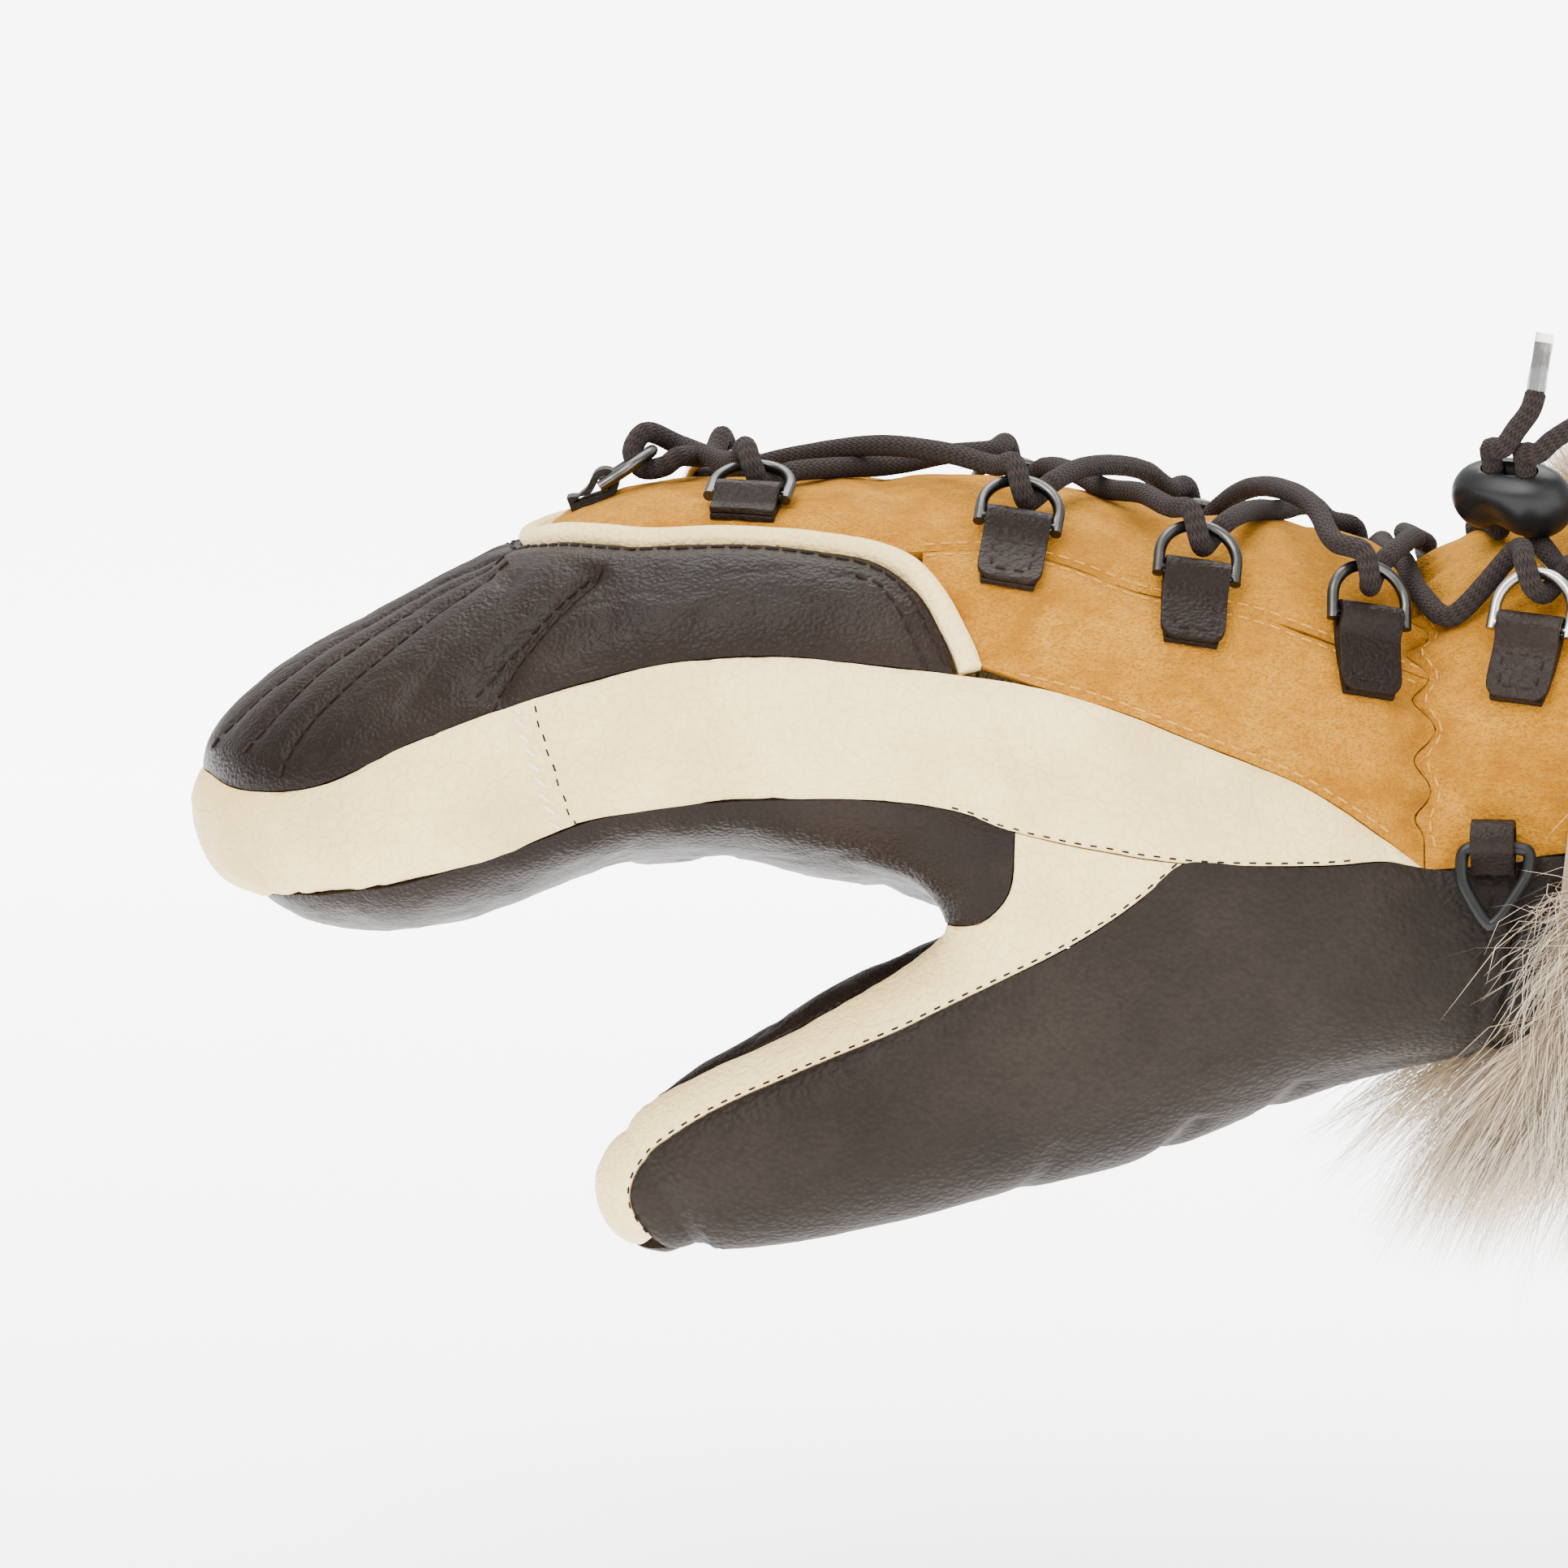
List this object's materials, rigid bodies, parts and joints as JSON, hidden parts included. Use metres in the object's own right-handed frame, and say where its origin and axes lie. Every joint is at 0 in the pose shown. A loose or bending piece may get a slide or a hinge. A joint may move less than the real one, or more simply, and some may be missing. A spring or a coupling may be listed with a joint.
{
  "type": "laced leather mitten",
  "caption": "Right-hand leather mitten with suede back, zigzag lacing through small D rings, cord lock, hang loop and fur-trimmed cuff.",
  "frame": {"origin": "centre of the opening that the hand goes into, in the plane of the cuff's end", "axes": "-X toward the finger tips, +Z toward the back of the hand, -Y toward the thumb"},
  "size_m": [0.2798, 0.1523, 0.1613],
  "materials": {
    "dark_leather": "satin",
    "cream_leather": "satin",
    "suede": "matte",
    "lace": "matte",
    "gunmetal": "satin",
    "black_plastic": "satin",
    "aglet": "gloss",
    "fur": "matte"
  },
  "bodies": {
    "root": {"toe_cap": "dark_leather", "piping": "cream_leather", "side_wall": "cream_leather", "palm": "dark_leather", "suede_tongue": "suede", "suede_side_near": "suede", "suede_side_far": "suede", "cuff_suede": "suede", "cuff_leather": "dark_leather", "thumb_outer": "dark_leather", "thumb_strip": "cream_leather", "thumb_inner": "dark_leather", "tab_front": "dark_leather", "tab_near_1": "dark_leather", "tab_far_1": "dark_leather", "tab_near_2": "dark_leather", "tab_far_2": "dark_leather", "tab_near_3": "dark_leather", "tab_far_3": "dark_leather", "tab_near_4": "dark_leather", "tab_far_4": "dark_leather", "tab_near_5": "dark_leather", "tab_far_5": "dark_leather", "d_ring_front": "gunmetal", "d_ring_near_1": "gunmetal", "d_ring_far_1": "gunmetal", "d_ring_near_2": "gunmetal", "d_ring_far_2": "gunmetal", "d_ring_near_3": "gunmetal", "d_ring_far_3": "gunmetal", "d_ring_near_4": "gunmetal", "d_ring_far_4": "gunmetal", "d_ring_near_5": "gunmetal", "d_ring_far_5": "gunmetal", "lace": "lace", "cord_lock": "black_plastic", "lace_end_short": "lace", "lace_end_long": "lace", "aglet_short": "aglet", "aglet_long": "aglet", "hang_tab": "dark_leather", "hang_ring": "black_plastic", "fur_trim": "fur"}
  },
  "joints": []
}
